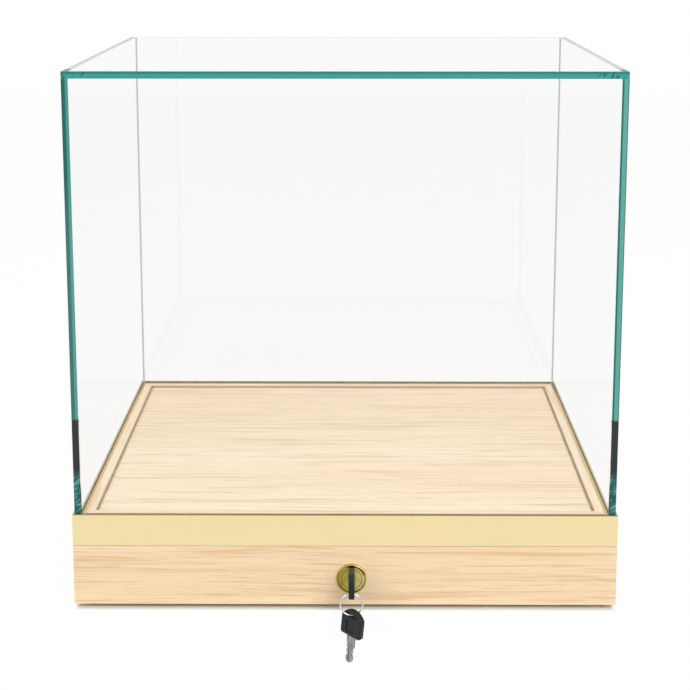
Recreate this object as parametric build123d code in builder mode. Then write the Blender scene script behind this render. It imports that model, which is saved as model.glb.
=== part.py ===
from build123d import *
import os
from math import cos, radians, sin, sqrt

os.makedirs("parts", exist_ok=True)

# A countertop display case: a glass hood in a gilt metal frame, hinged at the
# rear to a wooden base, with a cam lock and its two keys at the front.
# Millimetres. X runs to the right, Y to the rear and Z up. The origin is the
# middle of the footprint, on the counter that the feet stand on.

# Driving dimensions of the case
case_side = 400.0
case_height = 395.0
foot_height = 3.0
apron_height = 45.0
apron_thickness = 17.0
seam = 0.3
frame_height = 23.7
glass_thickness = 5.0
glass_arris = 0.4

# Gilt channel that holds the glass
channel_outer_wall = 1.5
channel_inner_wall = 2.0
channel_floor = 1.5
channel_inner_wall_drop = 0.8
glass_to_outer_wall = 0.1
tape_thickness = 0.2
setting_block_height = 1.0
setting_block_length = 20.0
setting_block_along = 110.0
channel_edge = 0.4

# Wooden lining inside the channel, and the deck
lining_width = 6.9
lining_drop = 0.2
deck_gap = 1.3
deck_drop = 1.8
deck_thickness = 9.0
deck_edge = 0.4
bottom_thickness = 9.0
bottom_gap = 0.2
batten_thickness = 12.0
batten_from_pocket = 6.0
corner_block_side = 22.0

# Lock: the axis runs along Y
lock_x = 5.0
lock_above_apron_bottom = 20.4
cap_radius = 11.3
cap_thickness = 1.8
cap_rim = 0.8
cap_rim_width = 1.1
cap_edge = 0.7
dish_slope = 0.5
barrel_radius = 9.0
barrel_flats = 16.0
barrel_length = 23.0
barrel_hole_play = 0.2
plug_face_radius = 7.6
plug_face_thickness = 2.0
plug_face_proud = 0.1
plug_past_barrel = 0.4
plug_radius = 6.0
running_gap = 0.05
skin_thickness = 8.0
pocket_left = 15.2
pocket_right = 28.0
pocket_below = 15.2
nut_across_flats = 24.0
nut_thickness = 3.0
washer_thickness = 0.8
washer_past_cap = 1.7
washer_play = 0.3
cam_thickness = 2.0
cam_reach = 22.0
cam_half_width = 4.5
cam_tip_from_deck = 1.4
cam_stub_side = 7.0
cam_stub_play = 0.1
cam_tip_round = 2.5
crank_from_barrel = 1.2
catch_thickness = 1.5
catch_width = 10.0
catch_play = 0.4
catch_leg_from_skin = 1.3
catch_from_lock = 14.8

# Keys
key_blade_thickness = 2.0
key_blade_width = 7.2
key_blade_length = 21.5
key_tang_length = 8.0
key_tang_inset = 0.8
key_tip_inset = 0.6
key_tip_length = 2.6
key_groove_width = 1.3
key_groove_depth = 0.45
key_groove_aside = 0.3
key_groove_ends = (1.5, 4.5)
key_head_width = 20.0
key_head_length = 20.5
key_head_thickness = 4.4
key_head_straight = 0.72
key_head_corner = 2.2
key_head_edge = 0.9
key_slot_length = 12.0
key_slot_width = 3.0
key_slot_from_top = 4.2
key_panel_width = 9.0
key_panel_length = 9.6
key_panel_depth = 0.5
key_panel_corner = 1.0
key_panel_at = 0.38
key_stand_off = 1.5
keyway_gap = 0.15
keyway_past_blade = 0.6
ring_radius = 8.1
wire_radius = 0.65
ring_play = 0.15
spare_yaw = 45.0
spare_roll = 7.5
spare_offset = 2.2

# Hinges: the axis runs along X behind the rear face
hinge_x = 120.0
hinge_width = 50.0
leaf_thickness = 1.2
leaf_gap = 0.2
leaf_front = 184.8
leaf_past_rear = 0.4
knuckle_radius = 2.7
knuckle_behind_rear = 3.6
centre_knuckle = 16.0
knuckle_gap = 0.2
pin_radius = 1.25
pin_press = 0.01
pin_past_knuckle = 0.4
recess_play = 0.2
stop_root = 2.0
stop_reach = 4.8
stop_play = 0.2
stop_bar_from = -5.0
stop_bar_to = 15.0
stop_fin_from = 62.0
stop_fin_to = 80.0

# Small parts
foot_radius = 9.0
foot_from_centre = 168.0
foot_countersink = 0.6
foot_recess_play = 0.3
foot_edge = 0.5
wood_screw_radius = 1.75
small_screw_radius = 1.1
hinge_screw_radius = 1.2
hinge_screw_from_rear = 7.6
screw_clearance = 0.05
recess_length, recess_width, recess_depth = 2.2, 0.45, 0.7  # in radii of the shank
pilot_past_screw = 0.2
deck_screw_from_centre = 177.0
deck_screw_bite = 5.8
bottom_screw_along = 90.0
pad_radius = 3.0
pad_let_in = 1.25
pad_top_gap = 0.05
pad_hole_play = 0.1
pad_from_face = 4.5
pad_reach = {"front": 150.0, "back": 165.0}
corner_key_leg = 30.0
corner_key_thickness = 0.8
corner_key_play = 0.1
wafer_width = 4.6
wafer_height = 11.0
wafer_thickness = 1.0
wafer_pitch = 3.2
wafer_count = 4
wafer_first = 5.0
wafer_window_play = 0.6
cam_screw_radius = 1.5
cam_screw_length = 4.8
cam_screw_head_radius = 3.4
cam_screw_head_height = 2.4
cam_screw_flange_radius = 5.4
cam_screw_flange_height = 0.8
cam_screw_slot_length = 5.6
cam_screw_slot_width = 0.9
tape_above_floor = 3.0
tape_below_wall = 1.0
tape_short_of_corner = 4.0
overcut = 1.0

# Heights worked out from these
half_side = case_side / 2
apron_bottom = foot_height
apron_top = apron_bottom + apron_height
frame_bottom = apron_top + seam
frame_top = frame_bottom + frame_height
floor_top = frame_bottom + channel_floor
inner_wall_top = frame_top - channel_inner_wall_drop
lining_top = inner_wall_top - lining_drop
deck_top = lining_top - deck_drop
deck_bottom = deck_top - deck_thickness
bottom_top = apron_bottom + bottom_thickness
glass_bottom = floor_top + setting_block_height
glass_ceiling = case_height - glass_thickness

# Distances from the middle of the case, outermost first
outer_wall_inside = half_side - channel_outer_wall
glass_outside = outer_wall_inside - glass_to_outer_wall
glass_inside = glass_outside - glass_thickness
inner_wall_outside = glass_inside - tape_thickness
inner_wall_inside = inner_wall_outside - channel_inner_wall
lining_inside = inner_wall_inside - lining_width
apron_inside = half_side - apron_thickness
deck_half = lining_inside - deck_gap
bottom_half = apron_inside - bottom_gap
block_middle = apron_inside - corner_block_side / 2
batten_middle = apron_inside - batten_thickness / 2
lining_middle = (inner_wall_inside + lining_inside) / 2
glass_middle = (glass_outside + glass_inside) / 2

lock_z = apron_bottom + lock_above_apron_bottom
skin_back = -half_side + skin_thickness
pocket_x = (lock_x - pocket_left, lock_x + pocket_right)
plug_face_y = -half_side - cap_thickness - plug_face_proud
plug_back_y = -half_side + barrel_length + plug_past_barrel
cam_tip_y = -deck_half - cam_tip_from_deck
leg_y = skin_back + catch_leg_from_skin
foot_top_z = lock_z - cam_half_width - catch_play
catch_x = lock_x + catch_from_lock

axis_y = half_side + knuckle_behind_rear
axis_z = frame_bottom - leaf_thickness - leaf_gap / 2
recess_floor = axis_z - leaf_gap / 2 - leaf_thickness

SIDES = {"front": 0, "right": 90, "back": 180, "left": 270}
HANDS = {"left": -1, "right": 1}
ON_TOP = (Align.CENTER, Align.CENTER, Align.MIN)
HUNG = (Align.CENTER, Align.CENTER, Align.MAX)


def save(piece, name):
    """Labels a finished piece and writes it."""
    piece.label = name
    export_step(piece, f"parts/{name}.step")


def side_plane(turn):
    """Section plane of a side: x runs inward, y up. Turn 0 is the front, 90 the right."""
    t = radians(turn)
    return Plane(origin=(0, 0, 0), x_dir=(-sin(t), cos(t), 0), z_dir=(cos(t), sin(t), 0))


def mitre_plane(turn, hand):
    """Upright plane through one corner of the case. Its normal points away from the side."""
    t = radians(turn + hand * 45)
    return Plane(origin=(0, 0, 0), z_dir=(hand * cos(t), hand * sin(t), 0))


def mitred_run(turn, outline):
    """Adds one side of a square frame: a section run along the side, mitred at both ends."""
    with BuildSketch(side_plane(turn)) as section:
        with BuildLine():
            Polyline(*outline, close=True)
        make_face()
    extrude(section.sketch, amount=half_side, both=True)
    for hand in (-1, 1):
        split(bisect_by=mitre_plane(turn, hand), keep=Keep.BOTTOM)


def slab(low, high, mode=Mode.ADD):
    """Adds or cuts a box between two corners."""
    middle = [(a + b) / 2 for a, b in zip(low, high)]
    with Locations(tuple(middle)):
        Box(*[b - a for a, b in zip(low, high)], mode=mode)


def rectangle_outline(inward_from, inward_to, low, high):
    """Corners of a side's upright rectangular section."""
    return [(-inward_from, low), (-inward_to, low), (-inward_to, high), (-inward_from, high)]


def facing_down(x, y, z):
    """Plane at a point, looking down."""
    return Plane(origin=(x, y, z), x_dir=(1, 0, 0), z_dir=(0, 0, -1))


def facing_up(x, y, z):
    """Plane at a point, looking up."""
    return Plane(origin=(x, y, z), x_dir=(1, 0, 0), z_dir=(0, 0, 1))


def facing_front(y):
    """Plane across the lock's axis, looking to the front, with its y upward."""
    return Plane(origin=(lock_x, y, lock_z), x_dir=(1, 0, 0), z_dir=(0, -1, 0))


def countersunk_screw(place, radius, length):
    """Adds a countersunk screw whose head's face lies on the plane and looks out of it."""
    with Locations(place):
        Cone(radius, 2 * radius, radius, align=HUNG)
        Cylinder(radius, length, align=HUNG)
        for turn in (0, 90):
            Box(recess_length * radius, recess_width * radius, recess_depth * radius,
                rotation=(0, 0, turn), align=HUNG, mode=Mode.SUBTRACT)


def pilot_hole(place, radius, depth):
    """Cuts the hole that a screw's shank fills, from the plane inward."""
    with Locations(place):
        Cylinder(radius + screw_clearance, depth, align=HUNG, mode=Mode.SUBTRACT)


def countersunk_hole(place, radius, depth):
    """Cuts a countersunk hole that a screw's head sits in, flush with the plane."""
    with Locations(place):
        Cone(radius + screw_clearance, 2 * radius + screw_clearance, radius + screw_clearance,
             align=HUNG, mode=Mode.SUBTRACT)
        Cylinder(radius + screw_clearance, depth, align=HUNG, mode=Mode.SUBTRACT)


def square_places(distance):
    """The four corners of a square round the middle of the case."""
    return [(x, y) for x in (-distance, distance) for y in (-distance, distance)]


# Fastener places
hinge_centres = {hand: side * hinge_x for hand, side in HANDS.items()}
hinge_base_screw_x = (-18.0, 0.0, 18.0)
hinge_hood_screw_x = (-9.0, 9.0)
hinge_base_screw_y = half_side - hinge_screw_from_rear
hinge_screw_length = 11.0
catch_screw_x = (2.4, 7.6)
catch_screw_length = 9.0
foot_screw_length = 22.0
bottom_screw_length = 24.0
deck_screw_length = deck_bottom - bottom_top + deck_screw_bite
pad_places = [(x, y) for y, reach in ((pad_from_face - half_side, pad_reach["front"]),
                                      (half_side - pad_from_face, pad_reach["back"]))
              for x in (-reach, reach)]
bottom_screw_places = [place for a in (-bottom_screw_along, bottom_screw_along)
                       for b in (-batten_middle, batten_middle) for place in ((a, b), (b, a))]

# Base: four mitred apron boards
apron_outline = rectangle_outline(half_side, apron_inside, apron_bottom, apron_top)

with BuildPart() as apron_front:
    mitred_run(SIDES["front"], apron_outline)
    with Locations(facing_front(-half_side)):
        Cylinder(barrel_radius + barrel_hole_play, skin_thickness + overcut, align=HUNG,
                 mode=Mode.SUBTRACT)
    slab((pocket_x[0], skin_back, lock_z - pocket_below),
         (pocket_x[1], -apron_inside + overcut, apron_top + overcut), Mode.SUBTRACT)
    for x, y in pad_places:
        with Locations((x, y, apron_top)):
            Cylinder(pad_radius + pad_hole_play, pad_let_in, align=HUNG, mode=Mode.SUBTRACT)
save(apron_front.part, "apron_front")

with BuildPart() as apron_back:
    mitred_run(SIDES["back"], apron_outline)
    for middle in hinge_centres.values():
        reach = hinge_width / 2 + recess_play
        slab((middle - reach, leaf_front - recess_play, recess_floor),
             (middle + reach, half_side + overcut, apron_top + overcut), Mode.SUBTRACT)
        for x in hinge_base_screw_x:
            pilot_hole(facing_up(middle + x, hinge_base_screw_y, recess_floor),
                       hinge_screw_radius, hinge_screw_length)
    for x, y in pad_places:
        with Locations((x, y, apron_top)):
            Cylinder(pad_radius + pad_hole_play, pad_let_in, align=HUNG, mode=Mode.SUBTRACT)
save(apron_back.part, "apron_back")

for hand in HANDS:
    with BuildPart() as apron_side:
        mitred_run(SIDES[hand], apron_outline)
    save(apron_side.part, f"apron_{hand}")

# Base: bottom panel, corner blocks, battens and deck
with BuildPart() as bottom_panel:
    slab((-bottom_half, -bottom_half, apron_bottom), (bottom_half, bottom_half, bottom_top))
    for x, y in square_places(foot_from_centre):
        pilot_hole(facing_down(x, y, apron_bottom), wood_screw_radius, bottom_thickness)
    for x, y in bottom_screw_places:
        countersunk_hole(facing_down(x, y, apron_bottom), wood_screw_radius, bottom_thickness)
save(bottom_panel.part, "bottom_panel")

with BuildPart() as corner_blocks:
    for x, y in square_places(block_middle):
        with Locations((x, y, bottom_top)):
            Box(corner_block_side, corner_block_side, deck_bottom - bottom_top, align=ON_TOP)
    for x, y in square_places(foot_from_centre):
        pilot_hole(facing_down(x, y, bottom_top), wood_screw_radius,
                   foot_screw_length + foot_countersink - bottom_top)
    for x, y in square_places(deck_screw_from_centre):
        countersunk_hole(facing_down(x, y, bottom_top), wood_screw_radius,
                         deck_bottom - bottom_top)
save(corner_blocks.part, "corner_blocks")

batten_end = apron_inside - corner_block_side
BATTENS = {
    "left": ((-apron_inside, -batten_end), (-apron_inside + batten_thickness, batten_end)),
    "right": ((apron_inside - batten_thickness, -batten_end), (apron_inside, batten_end)),
    "back": ((-batten_end, apron_inside - batten_thickness), (batten_end, apron_inside)),
    "front_left": ((-batten_end, -apron_inside),
                   (pocket_x[0] - batten_from_pocket, -apron_inside + batten_thickness)),
    "front_right": ((pocket_x[1] + batten_from_pocket, -apron_inside),
                    (batten_end, -apron_inside + batten_thickness)),
}
for place, (low, high) in BATTENS.items():
    with BuildPart() as batten:
        slab((*low, bottom_top), (*high, deck_bottom))
        for x, y in bottom_screw_places:
            if low[0] < x < high[0] and low[1] < y < high[1]:
                pilot_hole(facing_down(x, y, bottom_top), wood_screw_radius,
                           bottom_screw_length - bottom_thickness)
    save(batten.part, f"batten_{place}")

with BuildPart() as deck_panel:
    slab((-deck_half, -deck_half, deck_bottom), (deck_half, deck_half, deck_top))
    chamfer(deck_panel.faces().sort_by(Axis.Z)[-1].edges(), length=deck_edge)
    for x, y in square_places(deck_screw_from_centre):
        pilot_hole(facing_down(x, y, deck_bottom), wood_screw_radius,
                   deck_screw_bite + pilot_past_screw)
save(deck_panel.part, "deck_panel")

with BuildPart() as deck_screws:
    for x, y in square_places(deck_screw_from_centre):
        countersunk_screw(facing_down(x, y, bottom_top), wood_screw_radius, deck_screw_length)
save(deck_screws.part, "deck_screws")

with BuildPart() as bottom_screws:
    for x, y in bottom_screw_places:
        countersunk_screw(facing_down(x, y, apron_bottom), wood_screw_radius,
                          bottom_screw_length)
save(bottom_screws.part, "bottom_screws")

# Base: rubber feet, their screws, and the pads that the hood comes down on
with BuildPart() as rubber_feet:
    for x, y in square_places(foot_from_centre):
        with Locations((x, y, 0)):
            Cylinder(foot_radius, foot_height, align=ON_TOP)
        with Locations((x, y, 0)):
            Cylinder(2 * wood_screw_radius + foot_recess_play, foot_countersink, align=ON_TOP,
                     mode=Mode.SUBTRACT)
        countersunk_hole(facing_down(x, y, foot_countersink), wood_screw_radius, foot_height)
    chamfer(rubber_feet.faces().filter_by(GeomType.CYLINDER).sort_by(SortBy.RADIUS)[-4:].edges()
            .group_by(Axis.Z)[0], length=foot_edge)
save(rubber_feet.part, "rubber_feet")

with BuildPart() as foot_screws:
    for x, y in square_places(foot_from_centre):
        countersunk_screw(facing_down(x, y, foot_countersink), wood_screw_radius,
                          foot_screw_length)
save(foot_screws.part, "foot_screws")

with BuildPart() as buffer_pads:
    for x, y in pad_places:
        with Locations((x, y, apron_top - pad_let_in)):
            Cylinder(pad_radius, pad_let_in + seam - pad_top_gap, align=ON_TOP)
save(buffer_pads.part, "buffer_pads")

# Lock: housing with a rimmed cap and a barrel with two flats
dish_radius = cap_radius - cap_rim_width
with BuildPart() as lock_housing:
    with Locations(facing_front(-half_side)):
        Cylinder(cap_radius, cap_thickness + cap_rim, align=ON_TOP)
    fillet(lock_housing.faces().sort_by(Axis.Y)[0].edges(), radius=cap_edge)
    with BuildSketch(facing_front(-half_side)):
        Circle(barrel_radius)
        Rectangle(barrel_flats, 2 * barrel_radius, mode=Mode.INTERSECT)
    extrude(amount=-barrel_length)
    with Locations(facing_front(-half_side - cap_thickness)):
        Cone(dish_radius - dish_slope, dish_radius, cap_rim, align=ON_TOP, mode=Mode.SUBTRACT)
        Cylinder(plug_face_radius + running_gap, plug_face_thickness + running_gap, align=HUNG,
                 mode=Mode.SUBTRACT)
        Cylinder(plug_radius + running_gap, barrel_length + cap_thickness, align=HUNG,
                 mode=Mode.SUBTRACT)
save(lock_housing.part, "lock_housing")

with BuildPart() as lock_washer:
    with BuildSketch(facing_front(skin_back)):
        Circle(cap_radius + washer_past_cap)
        Circle(barrel_radius + washer_play, mode=Mode.SUBTRACT)
    extrude(amount=-washer_thickness)
save(lock_washer.part, "lock_washer")

with BuildPart() as lock_nut:
    with BuildSketch(facing_front(skin_back + washer_thickness)):
        RegularPolygon(nut_across_flats / 2, 6, major_radius=False)
        Circle(barrel_radius + running_gap, mode=Mode.SUBTRACT)
    extrude(amount=-nut_thickness)
save(lock_nut.part, "lock_nut")

# Lock: plug with its keyway and wafers
keyway_end_y = plug_face_y - key_stand_off + key_blade_length + keyway_past_blade
wafer_first_y = plug_face_y + wafer_first
wafer_places = [wafer_first_y + wafer_pitch * i for i in range(wafer_count)]
behind_plug = Plane(origin=(lock_x, plug_back_y + cam_thickness, lock_z), z_dir=(0, 1, 0))
with BuildPart() as lock_plug:
    with Locations(facing_front(plug_face_y)):
        Cylinder(plug_face_radius, plug_face_thickness, align=HUNG)
        Cylinder(plug_radius, plug_back_y - plug_face_y, align=HUNG)
    with Locations(facing_front(plug_back_y)):
        Box(cam_stub_side, cam_stub_side, cam_thickness, align=HUNG)
    slab((lock_x - key_blade_thickness / 2 - keyway_gap, plug_face_y - overcut,
          lock_z - key_blade_width / 2 - keyway_gap),
         (lock_x + key_blade_thickness / 2 + keyway_gap, keyway_end_y,
          lock_z + key_blade_width / 2 + keyway_gap), Mode.SUBTRACT)
    for y in wafer_places:
        slab((lock_x - wafer_width / 2 - running_gap, y - running_gap, lock_z - plug_radius - overcut),
             (lock_x + wafer_width / 2 + running_gap, y + wafer_thickness + running_gap,
              lock_z + plug_radius + overcut), Mode.SUBTRACT)
    pilot_hole(behind_plug, cam_screw_radius, cam_screw_length + pilot_past_screw)
save(lock_plug.part, "lock_plug")

with BuildPart() as lock_wafers:
    for y in wafer_places:
        with BuildSketch(facing_front(y)):
            Rectangle(wafer_width, wafer_height)
            Rectangle(key_blade_thickness + wafer_window_play,
                      key_blade_width + wafer_window_play, mode=Mode.SUBTRACT)
        extrude(amount=-wafer_thickness)
save(lock_wafers.part, "lock_wafers")

# Lock: cranked cam, which points up when the hood is free
crank_inside = barrel_radius + crank_from_barrel
with BuildPart() as lock_cam:
    with BuildSketch(facing_front(plug_back_y)):
        Circle(crank_inside)
        with Locations((0, crank_inside / 2 + cam_thickness / 2)):
            Rectangle(2 * cam_half_width, crank_inside + cam_thickness)
        Rectangle(cam_stub_side + cam_stub_play, cam_stub_side + cam_stub_play,
                  mode=Mode.SUBTRACT)
    extrude(amount=-cam_thickness)
    slab((lock_x - cam_half_width, cam_tip_y, lock_z + crank_inside),
         (lock_x + cam_half_width, plug_back_y + cam_thickness,
          lock_z + crank_inside + cam_thickness))
    slab((lock_x - cam_half_width, cam_tip_y, lock_z + crank_inside),
         (lock_x + cam_half_width, cam_tip_y + cam_thickness, lock_z + cam_reach))
    fillet(lock_cam.edges().filter_by(Axis.Y).sort_by(Axis.Z)[-2:], radius=cam_tip_round)
save(lock_cam.part, "lock_cam")

with BuildPart() as cam_screw:
    with Locations(behind_plug):
        Cylinder(cam_screw_flange_radius, cam_screw_flange_height, align=ON_TOP)
        Cylinder(cam_screw_head_radius, cam_screw_head_height, align=ON_TOP)
        Cylinder(cam_screw_radius, cam_screw_length, align=HUNG)
        with Locations((0, 0, cam_screw_head_height)):
            for turn in (0, 90):
                Box(cam_screw_slot_length, cam_screw_slot_width, cam_screw_slot_width,
                    rotation=(0, 0, turn), align=HUNG, mode=Mode.SUBTRACT)
save(cam_screw.part, "cam_screw")


# Keys, drawn lying flat: x across the key, y from the blade's shoulder to the head's top
blade_half = key_blade_width / 2
blade_tip_half = blade_half - key_tip_inset
blade_tip_start = -key_blade_length + key_tip_length
left_cuts = [(0.0, 0.0), (0.0, -5.2), (1.1, -6.6), (0.4, -8.2), (1.4, -9.8), (1.4, -11.0),
             (0.5, -12.4), (1.5, -13.9), (1.5, -15.4), (0.6, -16.9)]
right_cuts = [(0.6, -16.9), (1.5, -15.0), (1.3, -13.2), (1.3, -11.4), (0.0, -8.6), (0.0, 0.0)]
tang_half = blade_half - key_tang_inset
head_half = key_head_width / 2
head_shoulder = key_head_straight * key_head_length
slot_along = key_head_length - key_slot_from_top
groove_from, groove_to = -key_blade_length + key_groove_ends[0], -key_groove_ends[1]
groove_middle = (groove_from + groove_to) / 2
groove_length = groove_to - groove_from

with BuildPart() as blade_pattern:
    with BuildSketch():
        with BuildLine():
            left_edge = Polyline(
                (-tang_half, key_tang_length), (-tang_half, 0),
                *[(-blade_half + cut, y) for cut, y in left_cuts],
                (-blade_tip_half, blade_tip_start))
            tip = ThreePointArc(left_edge @ 1, (0, -key_blade_length),
                                (blade_tip_half, blade_tip_start))
            Polyline(tip @ 1, *[(blade_half - cut, y) for cut, y in right_cuts],
                     (tang_half, 0), (tang_half, key_tang_length), left_edge @ 0)
        make_face()
    extrude(amount=key_blade_thickness / 2, both=True)
    for face in (-1, 1):
        with BuildSketch(Plane.XY.offset(face * key_blade_thickness / 2)):
            with Locations((-key_groove_aside, groove_middle)):
                Rectangle(key_groove_width, groove_length)
        extrude(amount=-face * key_groove_depth, mode=Mode.SUBTRACT)

with BuildPart() as head_pattern:
    with BuildSketch() as head_outline:
        with BuildLine():
            sides = Polyline((-head_half, head_shoulder), (-head_half, 0), (head_half, 0),
                             (head_half, head_shoulder))
            ThreePointArc(sides @ 1, (0, key_head_length), sides @ 0)
        make_face()
        fillet(head_outline.vertices(), radius=key_head_corner)
    extrude(amount=key_head_thickness / 2, both=True)
    fillet(head_pattern.faces().filter_by(Axis.Z).edges(), radius=key_head_edge)
    with BuildSketch():
        with Locations((0, slot_along)):
            SlotOverall(key_slot_length, key_slot_width)
    extrude(amount=key_head_thickness, both=True, mode=Mode.SUBTRACT)
    with BuildSketch():
        with Locations((0, key_tang_length / 2)):
            Rectangle(2 * tang_half, key_tang_length)
    extrude(amount=key_blade_thickness / 2, both=True, mode=Mode.SUBTRACT)
    for face in (-1, 1):
        with BuildSketch(Plane.XY.offset(face * key_head_thickness / 2)):
            with Locations((0, key_panel_at * key_head_length)):
                RectangleRounded(key_panel_width, key_panel_length, key_panel_corner)
        extrude(amount=-face * key_panel_depth, mode=Mode.SUBTRACT)

# The ring hangs in the lower end of the first key's slot, square to the head
slot_y = plug_face_y - key_stand_off - slot_along
slot_low_z = lock_z - key_slot_length / 2
inner_radius = ring_radius - wire_radius
ring_drop = inner_radius - sqrt(inner_radius ** 2 - (key_head_thickness / 2) ** 2)
ring_top_z = slot_low_z + ring_drop + wire_radius + ring_play
ring_z = ring_top_z - ring_radius
ring_bottom_z = ring_z - ring_radius

with BuildPart() as key_ring:
    with Locations(Plane(origin=(lock_x, slot_y, ring_z), z_dir=(0, 1, 0))):
        Torus(ring_radius, wire_radius)
save(key_ring.part, "key_ring")

# The spare key hangs from the ring's lowest point, by the left end of its slot
yaw = radians(spare_yaw)
roll = radians(spare_roll)
across = Vector(cos(yaw) * cos(roll), -sin(yaw) * cos(roll), -sin(roll))
along = Vector(cos(yaw) * sin(roll), -sin(yaw) * sin(roll), cos(roll))
half_run = (key_head_thickness / 2 + wire_radius * sin(yaw)) / cos(yaw)
wire_rise = inner_radius - sqrt(inner_radius ** 2 - half_run ** 2)
spare_slot = Vector(lock_x, slot_y, ring_bottom_z + wire_rise / 2 + ring_play)
key_shoulder = (lock_x, plug_face_y - key_stand_off, lock_z)
KEYS = {
    "key": Plane(origin=key_shoulder, x_dir=(0, 0, 1), z_dir=(1, 0, 0)),
    "spare_key": Plane(origin=spare_slot + across * spare_offset - along * slot_along,
                       x_dir=across, z_dir=across.cross(along)),
}
for name, place in KEYS.items():
    with BuildPart() as blade:
        with Locations(place):
            add(blade_pattern.part)
    save(blade.part, f"{name}_blade")
    with BuildPart() as head:
        with Locations(place):
            add(head_pattern.part)
    save(head.part, f"{name}_head")


# Hinges: three knuckles each, the outer two on the base's leaf
def along_x(x, y=axis_y, z=axis_z):
    """Plane across a hinge's axis, with its x to the rear and its y up."""
    return Plane(origin=(x, y, z), x_dir=(0, 1, 0), z_dir=(1, 0, 0))


def stop_outline(inner, outer, low, high):
    """Corners of a stop between two radii and two angles about the hinge's axis."""
    return [(r * cos(radians(a)), r * sin(radians(a)))
            for r, a in ((inner, low), (outer, low), (outer, high), (inner, high))]


def stop_block(x_from, x_to, corners):
    """Adds a stop's section between two places along the hinge."""
    with BuildSketch(along_x(x_from)) as section:
        with BuildLine():
            Polyline(*corners, close=True)
        make_face()
    extrude(section.sketch, amount=x_to - x_from)


half_leaf = hinge_width / 2
half_centre = centre_knuckle / 2
outer_length = half_leaf - half_centre - knuckle_gap
outer_middle = (half_leaf + half_centre + knuckle_gap) / 2
base_leaf_top = recess_floor + leaf_thickness
hood_leaf_bottom = frame_bottom - leaf_thickness

for hand, middle in hinge_centres.items():
    with BuildPart() as base_leaf:
        slab((middle - half_leaf, leaf_front, recess_floor),
             (middle + half_leaf, half_side + leaf_past_rear, base_leaf_top))
        for side in (-1, 1):
            centre = middle + side * outer_middle
            slab((centre - outer_length / 2, half_side, recess_floor),
                 (centre + outer_length / 2, axis_y, base_leaf_top))
            with Locations(along_x(centre)):
                Cylinder(knuckle_radius, outer_length)
            stop_block(centre - outer_length / 2, centre + outer_length / 2,
                       stop_outline(stop_root, stop_reach, stop_bar_from, stop_bar_to))
        stop_block(middle - half_leaf, middle + half_leaf,
                   stop_outline(knuckle_radius + stop_play, stop_reach,
                                stop_bar_from, stop_bar_to))
        with Locations(along_x(middle)):
            Cylinder(pin_radius + pin_press, hinge_width + overcut, mode=Mode.SUBTRACT)
        for x in hinge_base_screw_x:
            countersunk_hole(facing_up(middle + x, hinge_base_screw_y, base_leaf_top),
                             hinge_screw_radius, leaf_thickness + overcut)
    save(base_leaf.part, f"hinge_base_leaf_{hand}")

    with BuildPart() as hood_leaf:
        slab((middle - half_leaf, leaf_front, hood_leaf_bottom),
             (middle + half_leaf, half_side, frame_bottom))
        slab((middle - half_centre, half_side - overcut, hood_leaf_bottom),
             (middle + half_centre, axis_y, frame_bottom))
        with Locations(along_x(middle)):
            Cylinder(knuckle_radius, centre_knuckle)
        stop_block(middle - half_centre, middle + half_centre,
                   stop_outline(stop_root, stop_reach - stop_play, stop_fin_from, stop_fin_to))
        with Locations(along_x(middle)):
            Cylinder(pin_radius + running_gap, centre_knuckle + overcut, mode=Mode.SUBTRACT)
        for x in hinge_hood_screw_x:
            countersunk_hole(facing_down(middle + x, lining_middle, hood_leaf_bottom),
                             hinge_screw_radius, leaf_thickness + overcut)
    save(hood_leaf.part, f"hinge_hood_leaf_{hand}")

with BuildPart() as hinge_pins:
    for middle in hinge_centres.values():
        with Locations(along_x(middle)):
            Cylinder(pin_radius, hinge_width + 2 * pin_past_knuckle)
save(hinge_pins.part, "hinge_pins")

with BuildPart() as hinge_base_screws:
    for middle in hinge_centres.values():
        for x in hinge_base_screw_x:
            countersunk_screw(facing_up(middle + x, hinge_base_screw_y, base_leaf_top),
                              hinge_screw_radius, hinge_screw_length + leaf_thickness)
save(hinge_base_screws.part, "hinge_base_screws")

with BuildPart() as hinge_hood_screws:
    for middle in hinge_centres.values():
        for x in hinge_hood_screw_x:
            countersunk_screw(facing_down(middle + x, lining_middle, hood_leaf_bottom),
                              hinge_screw_radius, hinge_screw_length + leaf_thickness)
save(hinge_hood_screws.part, "hinge_hood_screws")

# Hood: the gilt channel, four mitred bars, and the keys that join their corners
frame_outline = [
    (-half_side, frame_bottom),
    (-half_side, frame_top - channel_edge),
    (-half_side + channel_edge, frame_top),
    (-outer_wall_inside, frame_top),
    (-outer_wall_inside, floor_top),
    (-inner_wall_outside, floor_top),
    (-inner_wall_outside, inner_wall_top),
    (-inner_wall_inside, inner_wall_top),
    (-inner_wall_inside, frame_bottom),
]
for side, turn in SIDES.items():
    with BuildPart() as frame_bar:
        mitred_run(turn, frame_outline)
    save(frame_bar.part, f"frame_{side}")

corner_key_low = inner_wall_outside + corner_key_play
corner_key_high = outer_wall_inside - corner_key_play
with BuildPart() as frame_corner_keys:
    for x_side in (-1, 1):
        for y_side in (-1, 1):
            legs = (((corner_key_high - corner_key_leg, corner_key_low), (corner_key_high,) * 2),
                    ((corner_key_low, corner_key_high - corner_key_leg), (corner_key_high,) * 2))
            for (x_low, y_low), (x_high, y_high) in legs:
                xs = sorted((x_side * x_low, x_side * x_high))
                ys = sorted((y_side * y_low, y_side * y_high))
                slab((xs[0], ys[0], floor_top), (xs[1], ys[1], floor_top + corner_key_thickness))
save(frame_corner_keys.part, "frame_corner_keys")

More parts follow.
